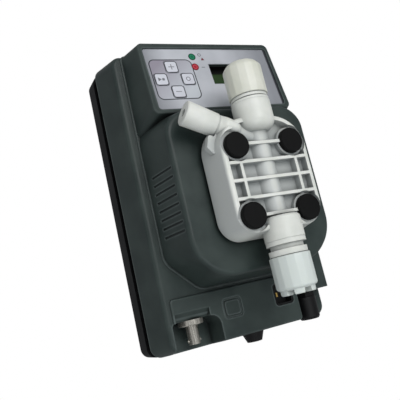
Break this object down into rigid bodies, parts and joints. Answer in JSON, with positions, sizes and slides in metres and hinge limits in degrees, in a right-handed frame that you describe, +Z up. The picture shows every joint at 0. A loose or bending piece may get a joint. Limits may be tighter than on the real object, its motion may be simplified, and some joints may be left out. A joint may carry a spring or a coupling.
{
  "type": "diaphragm metering pump",
  "caption": "Wall-mounted solenoid diaphragm metering pump with a clear-white ribbed pump head, ball-valve unions, bleed valve and sloped control panel",
  "frame": {"origin": "centre of the rear cover's back face, which lies against the wall", "axes": "+Z up, the pump head faces -Y, +X is to the right seen from the front"},
  "size_m": [0.173, 0.1378, 0.2571],
  "materials": {
    "housing_plastic": "satin, fine grain",
    "cover_plastic": "satin",
    "seal_rubber": "matt",
    "head_plastic": "satin, slightly translucent",
    "union_plastic": "satin",
    "cap_plastic": "satin",
    "label_film": "satin film",
    "key_rubber": "satin",
    "lamp_green": "clear",
    "lamp_red": "clear",
    "display_glass": "gloss",
    "black_plastic": "matt",
    "board_laminate": "solder mask",
    "component_black": "matt",
    "terminal_green": "matt",
    "steel": "zinc plated",
    "copper": "enamelled wire",
    "brass": "turned",
    "nickel": "nickel plated",
    "ptfe": "satin",
    "ceramic": "polished",
    "elastomer": "matt",
    "coil_plastic": "matt"
  },
  "bodies": {
    "root": {"housing": "housing_plastic", "rear_cover": "cover_plastic", "seal_frame": "seal_rubber", "case_screws": "steel", "panel_label": "label_film", "led_green": "lamp_green", "led_red": "lamp_red", "lcd_bezel": "black_plastic", "lcd_module": "display_glass", "control_board": "board_laminate", "key_switches": "component_black", "power_board": "board_laminate", "capacitors": "component_black", "terminal_block": "terminal_green", "pump_head": "head_plastic", "backing_plate": "head_plastic", "head_screws": "steel", "screw_caps": "cap_plastic", "diaphragm": "ptfe", "drive_flange": "steel", "guide_bush": "brass", "return_spring": "steel", "yoke": "steel", "bobbin": "coil_plastic", "coil": "copper", "bumper": "elastomer", "suction_body": "head_plastic", "discharge_body": "head_plastic", "suction_nozzle": "head_plastic", "discharge_nozzle": "head_plastic", "valve_seats": "elastomer", "valve_stops": "ptfe", "valve_orings": "elastomer", "bnc_body": "nickel", "bnc_insulator": "ptfe", "bnc_contact": "brass", "bnc_nut": "nickel", "power_gland_body": "black_plastic", "power_gland_seal": "elastomer", "signal_gland_body": "black_plastic", "signal_gland_seal": "elastomer", "blanking_plug": "housing_plastic", "signal_socket": "black_plastic", "socket_contacts": "brass"},
    "plunger": {"armature": "steel", "push_rod": "steel", "diaphragm_disc": "ptfe"},
    "suction_ball": {"suction_ball": "ceramic"},
    "discharge_ball": {"discharge_ball": "ceramic"},
    "suction_nut": {"suction_nut": "union_plastic"},
    "discharge_nut": {"discharge_nut": "union_plastic"},
    "bleed_knob": {"bleed_knob": "head_plastic", "bleed_stem": "head_plastic"},
    "power_gland_nut": {"power_gland_nut": "black_plastic"},
    "signal_gland_nut": {"signal_gland_nut": "black_plastic"},
    "key_up": {"key_up": "key_rubber"},
    "key_down": {"key_down": "key_rubber"},
    "key_run": {"key_run": "key_rubber"},
    "key_set": {"key_set": "key_rubber"}
  },
  "joints": [
    {"name": "stroke", "type": "slide", "parent": "root", "child": "plunger", "axis": [0, -1, 0], "range_m": [0, 0.00125], "stiffness_N_per_m": 4000, "springref_m": -0.004, "deforming": ["return_spring", "diaphragm"]},
    {"name": "suction_lift", "type": "slide", "parent": "root", "child": "suction_ball", "axis": [0, 0, 1], "range_m": [0, 0.0015]},
    {"name": "discharge_lift", "type": "slide", "parent": "root", "child": "discharge_ball", "axis": [0, 0, 1], "range_m": [0, 0.0015]},
    {"name": "suction_union_turn", "type": "hinge", "parent": "root", "child": "suction_nut", "pos_m": [0, -0.1225, -0.085], "axis": [0, 0, 1], "range_deg": [0, 90]},
    {"name": "discharge_union_turn", "type": "hinge", "parent": "root", "child": "discharge_nut", "pos_m": [0, -0.1225, 0.066], "axis": [0, 0, 1], "range_deg": [0, 90]},
    {"name": "bleed_turn", "type": "hinge", "parent": "root", "child": "bleed_knob", "pos_m": [-0.04058, -0.117, 0.03864], "axis": [-0.9018, 0, 0.4321], "range_deg": [0, 270]},
    {"name": "power_gland_turn", "type": "hinge", "parent": "root", "child": "power_gland_nut", "pos_m": [0, -0.0435, -0.12], "axis": [0, 0, 1], "range_deg": [0, 90]},
    {"name": "signal_gland_turn", "type": "hinge", "parent": "root", "child": "signal_gland_nut", "pos_m": [0.0605, -0.0435, -0.115], "axis": [0, 0, 1], "range_deg": [0, 90]},
    {"name": "key_up_press", "type": "slide", "parent": "root", "child": "key_up", "axis": [0, 0.9881, -0.1537], "range_m": [0, 0.0004], "stiffness_N_per_m": 1500, "springref_m": -0.0003},
    {"name": "key_down_press", "type": "slide", "parent": "root", "child": "key_down", "axis": [0, 0.9881, -0.1537], "range_m": [0, 0.0004], "stiffness_N_per_m": 1500, "springref_m": -0.0003},
    {"name": "key_run_press", "type": "slide", "parent": "root", "child": "key_run", "axis": [0, 0.9881, -0.1537], "range_m": [0, 0.0004], "stiffness_N_per_m": 1500, "springref_m": -0.0003},
    {"name": "key_set_press", "type": "slide", "parent": "root", "child": "key_set", "axis": [0, 0.9881, -0.1537], "range_m": [0, 0.0004], "stiffness_N_per_m": 1500, "springref_m": -0.0003}
  ]
}
